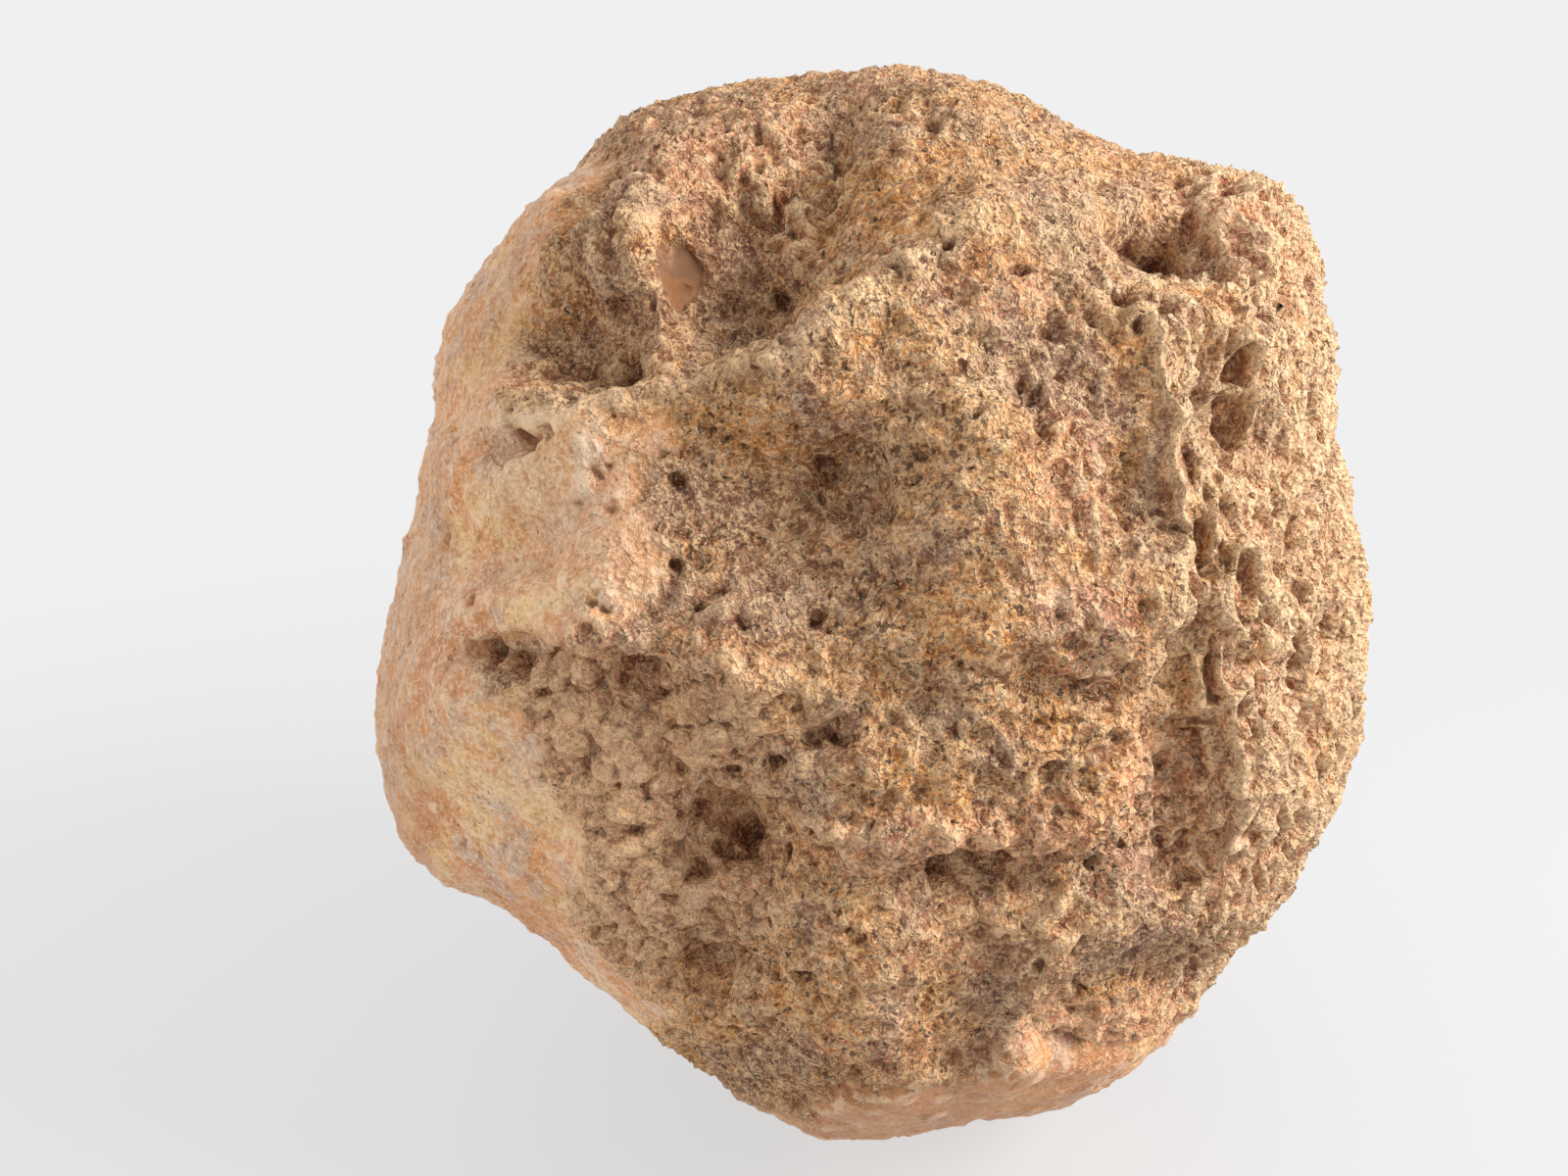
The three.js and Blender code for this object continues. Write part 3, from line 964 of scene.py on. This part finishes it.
# Tones of the crust, then of the wax, then of the chip.
TAN = linear(198, 144, 96)
SAND = linear(218, 170, 120)
LUMP_TONE_AND_PAINTED_LIGHT = linear(234, 180, 136)
OCHRE_TONE = linear(210, 142, 72)
BROWN = linear(166, 114, 82)
GREY_BROWN = linear(146, 116, 106)
CREAM = linear(246, 208, 164)
PAINTED_LIGHT_TONE = linear(242, 204, 158)
SPECK_TONE = linear(244, 198, 142)
PINK_TONE = linear(216, 142, 108)
RED_TONE = linear(172, 98, 70)
# The next three are tones for painted shade; the middle one also darkens fine grain in the crust.
DEEP_SHADE = linear(80, 40, 20)
SHADOW = linear(112, 68, 42)
FLANK_HOLLOW_SHADE = linear(142, 78, 54)
AMBER = linear(216, 154, 96)
HONEY = linear(228, 186, 126)
SMOKE = linear(196, 164, 140)
RUST = linear(206, 130, 70)
WAX_LOW = linear(172, 114, 68)
PALE = linear(240, 212, 178)
CHIP_TONE = linear(118, 84, 60)
CHIP_AMBER = linear(134, 90, 56)

waxy_m, crest_m, flank_m, lumpy_m = mask("waxy"), mask("crest"), mask("flank"), mask("lumpy")
ochre_m, grey_m, chip_m = mask("ochre"), mask("grey"), mask("chip")

# Noises from coarse to fine. Two of them make shapes a little taller than wide.
broad = noise(11, 3.0, 0.6)
warmth = noise(8, 4.0, 0.6, stretch((1.0, 1.0, 0.8)))
rusty = noise(8, 3.0, 0.5)
crowding = noise(7, 2.0, 0.5)
streaks = noise(5, 5.0, 0.65, stretch((1, 1, 0.75)))
middle = noise(4.5, 5.0, 0.65)
net = crinkle(2.0, 3.0, 0.65, jostle(0.5, 0.8))
fleck = noise(1.6, 4.0, 0.6)
speck = noise(0.5, 2.0, 0.7)


def blots(size, low):
    """Pits of ragged outline where noise is low, fewer on the wax, and the rings round them, where painted
    highlights go.
    """
    n = noise(size, 2.0, 0.55)
    edge = calc("MULTIPLY_ADD", crowding, 0.22, calc("MULTIPLY_ADD", waxy_m, -0.08, low))
    inside = span(n, calc("ADD", edge, 0.02), calc("ADD", edge, -0.03))
    rim = span(n, calc("ADD", edge, 0.09), calc("ADD", edge, 0.02))
    return inside, rim


pit, pit_highlight = blots(1.1, 0.235)
dot, dot_highlight = blots(0.55, 0.275)
holes = calc("MAXIMUM", pit, calc("MULTIPLY", dot, 0.8))
holes = calc("MULTIPLY", holes, span(lumpy_m, 0.2, 0.9, 1.0, 0.35))
holes = calc("MULTIPLY", holes, span(crest_m, 0.5, 0.0, 0.25, 1.0))
# Painted highlights round the pits.
rims = calc("MULTIPLY", calc("MAXIMUM", pit_highlight, dot_highlight), span(fleck, 0.42, 0.56))
# Painted shade for pits and low places: warm on the flank and among the beads, and dark elsewhere.
pit_shade_tone = mix(calc("MAXIMUM", flank_m, calc("MULTIPLY", lumpy_m, 0.7)), DEEP_SHADE, FLANK_HOLLOW_SHADE)

# tone, where it shows, how strongly
crust = coated(mix(span(broad, 0.44, 0.54), BROWN, TAN), (
    (SAND, span(middle, 0.48, 0.62), 0.7),
    (OCHRE_TONE, span(warmth, 0.52, 0.59), 0.8),
    (GREY_BROWN, span(warmth, 0.48, 0.41), 0.8),
    (OCHRE_TONE, ochre_m, span(middle, 0.36, 0.52)),
    (PINK_TONE, mask("pink"), span(broad, 0.34, 0.5)),
    (GREY_BROWN, grey_m, span(middle, 0.62, 0.46)),
    (RED_TONE, mask("red"), 0.85),
    # a paler tone on the beads, partly painted light where they face away from the lamp
    (LUMP_TONE_AND_PAINTED_LIGHT, lumpy_m, span(middle, 0.42, 0.56, 0.15, 0.8)),
    # painted shade from the mask
    (SHADOW, mask("shade"), 0.62),
    # painted light from the mask
    (PAINTED_LIGHT_TONE, mask("painted_light"), 0.7),
    (CREAM, span(fleck, 0.5, 0.64), 0.3),
    (SHADOW, span(fleck, 0.5, 0.38), 0.35),
    # painted shade in low places
    (pit_shade_tone, span(crest_m, -0.02, -0.5), span(lumpy_m, 0.0, 1.0, 0.65, 0.9)),
    # painted highlights on crests
    (CREAM, span(crest_m, 0.05, 0.4), span(flank_m, 0.0, 1.0, 0.35, 0.8)),
    (SHADOW, span(speck, 0.49, 0.39), span(lumpy_m, 0.0, 1.0, 0.55, 0.3)),
    (SPECK_TONE, span(speck, 0.52, 0.61), 0.7),
    # painted highlights on the net's crests and painted shade between them
    (CREAM, span(net, 1.2, 1.8), 0.45),
    (SHADOW, span(net, 0.9, 0.4), span(lumpy_m, 0.0, 1.0, 0.5, 0.2)),
    # painted highlights round the pits
    (CREAM, rims, 0.8),
    # painted shade in the pits
    (pit_shade_tone, holes, 0.82),
))
wax = coated(mix(span(streaks, 0.44, 0.54), SMOKE, AMBER), (
    (HONEY, span(broad, 0.5, 0.58), 0.8),
    (RUST, span(rusty, 0.52, 0.6), 0.7),
    (OCHRE_TONE, ochre_m, 0.5),
    (SMOKE, grey_m, 0.6),
    (PALE, span(fleck, 0.52, 0.62), 0.4),
    (WAX_LOW, span(fleck, 0.48, 0.4), 0.45),
    (PALE, span(speck, 0.55, 0.6), 0.6),
    (WAX_LOW, span(speck, 0.46, 0.41), 0.4),
    # From here on: painted shade in pits, painted shade and painted light from the masks, painted
    # highlights on crests and painted shade in low places.
    (BROWN, holes, 0.6),
    (WAX_LOW, mask("shade"), 0.8),
    (PALE, mask("painted_light"), 0.35),
    (PALE, span(crest_m, 0.03, 0.25), 0.5),
    (BROWN, span(crest_m, -0.1, -0.5), 0.7),
))

# Painted shade in the deep hollows.
colour = coated(mix(waxy_m, crust, wax), ((DEEP_SHADE, mask("hollow_shade"), 0.45),))
glass = mix(span(mask("chip_low"), 0.3, 0.7), CHIP_TONE, CHIP_AMBER)
colour = mix(chip_m, colour, glass)

height = calc("MULTIPLY", holes, -1.0)
height = calc("MULTIPLY_ADD", net, 0.5, height)
height = calc("MULTIPLY_ADD", speck, 0.9, height)
height = calc("MULTIPLY", height, span(waxy_m, 0.0, 1.0, 1.0, 0.45))
height = calc("MULTIPLY", height, span(chip_m, 0.0, 1.0, 1.0, 0.05))
bump = node("Bump", Strength=1.0, Distance=BUMP_MM * MM, Height=height)

shader = node("BsdfPrincipled", Normal=bump.outputs[0])
put(shader.inputs["Base Color"], colour)
put(shader.inputs["Roughness"], span(waxy_m, 0.0, 1.0, CRUST_ROUGHNESS, WAX_ROUGHNESS))
shader.inputs["IOR"].default_value = 1.5
shader.inputs["Specular IOR Level"].default_value = 0.35
node("OutputMaterial", Surface=shader.outputs[0])

stone.data.materials.clear()
stone.data.materials.append(material)
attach(stone, "root")
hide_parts("geode")

# ---------------------------------------------------------------- floor, light and camera

BACKDROP = (0.87, 0.87, 0.88)
FLOOR_PAINT = (0.55, 0.545, 0.54)
FLOOR_RADIUS, FLOOR_SIDES = 6, 128
# The floor fades to the backdrop's colour between these distances in metres from the stone.
FADE_FROM, FADE_TO = 0.08, 0.42
# The backdrop colour's share where the fade begins: the floor glows with it even beside the stone, which
# lightens the stone's shadow there.
FADE_NEAR = 0.7
# The room's light by direction, -1 in front of the stone to 1 behind it: where it grows, and from what.
ROOM_FROM, ROOM_TO, ROOM_DIM = -0.9, 0.1, 0.42


def step(nodes, *values):
    """A smooth step for another node tree, from one range of numbers to another."""
    made = nodes.new("ShaderNodeMapRange")
    made.interpolation_type = "SMOOTHSTEP"
    for key, value in zip(("From Min", "From Max", "To Min", "To Max"), values):
        made.inputs[key].default_value = value
    return made


bpy.ops.mesh.primitive_circle_add(vertices=FLOOR_SIDES, radius=FLOOR_RADIUS, fill_type="NGON")
floor = bpy.context.object
floor.name = "floor"
paint = bpy.data.materials.new("floor")
paint.use_nodes = True
pn, pl = paint.node_tree.nodes, paint.node_tree.links
pn["Principled BSDF"].inputs["Base Color"].default_value = (*FLOOR_PAINT, 1)
pn["Principled BSDF"].inputs["Roughness"].default_value = 0.7
floor_glow = pn.new("ShaderNodeEmission")
floor_glow.inputs[0].default_value = (*BACKDROP, 1)
spot = pn.new("ShaderNodeTexCoord")
length = pn.new("ShaderNodeVectorMath")
length.operation = "LENGTH"
fade_out = step(pn, FADE_FROM, FADE_TO, FADE_NEAR, 1.0)
blend = pn.new("ShaderNodeMixShader")
pl.new(spot.outputs["Object"], length.inputs[0])
pl.new(length.outputs["Value"], fade_out.inputs["Value"])
pl.new(fade_out.outputs[0], blend.inputs[0])
pl.new(pn["Principled BSDF"].outputs[0], blend.inputs[1])
pl.new(floor_glow.outputs[0], blend.inputs[2])
pl.new(blend.outputs[0], pn["Material Output"].inputs[0])
floor.data.materials.append(paint)


def lamp(name, place, size, power):
    """A square lamp turned to the stone's middle. Place and size are in metres, power in watts."""
    light = bpy.data.lights.new(name, "AREA")
    light.size, light.energy = size, power
    obj = bpy.data.objects.new(name, light)
    bpy.context.scene.collection.objects.link(obj)
    obj.location = place
    obj.rotation_mode = "QUATERNION"
    obj.rotation_quaternion = (Vector(MIDDLE) * MM - Vector(place)).to_track_quat("-Z", "Y")


lamp("key", (0.5, -0.16, 0.38), 0.3, 5.0)
lamp("fill", (-0.5, -0.3, 0.14), 0.5, 0.75)

world = bpy.data.worlds.new("world")
bpy.context.scene.world = world
world.use_nodes = True
wn, wl = world.node_tree.nodes, world.node_tree.links
# The room is bright above, behind and beside the stone and dimmer on the side of the photograph's view.
aim_at = wn.new("ShaderNodeTexCoord")
split = wn.new("ShaderNodeSeparateXYZ")
dim = step(wn, ROOM_FROM, ROOM_TO, ROOM_DIM, 1.0)
seen = wn.new("ShaderNodeLightPath")
pick = wn.new("ShaderNodeMix")
pick.data_type = "RGBA"
pick.inputs[7].default_value = (*BACKDROP, 1)
wl.new(aim_at.outputs["Generated"], split.inputs[0])
wl.new(split.outputs["Y"], dim.inputs["Value"])
wl.new(seen.outputs["Is Camera Ray"], pick.inputs[0])
wl.new(dim.outputs[0], pick.inputs[6])
wl.new(pick.outputs[2], wn["Background"].inputs[0])
bpy.context.scene.view_settings.view_transform = "Standard"

camera = bpy.data.cameras.new("camera")
camera.lens, camera.sensor_width, camera.clip_start = LENS, SENSOR_WIDTH, 0.01
camera.shift_x = -(MIDDLE_X - IMAGE_WIDTH / 2) / IMAGE_WIDTH
camera.shift_y = (MIDDLE_Y - IMAGE_HEIGHT / 2) / IMAGE_WIDTH
eye = bpy.data.objects.new("camera", camera)
bpy.context.scene.collection.objects.link(eye)
eye.location = Vector((MIDDLE + TO_EYE * EYE_DISTANCE) * MM)
eye.rotation_mode = "QUATERNION"
eye.rotation_quaternion = (-Vector(TO_EYE)).to_track_quat("-Z", "Y")
bpy.context.scene.camera = eye

bpy.context.view_layer.update()
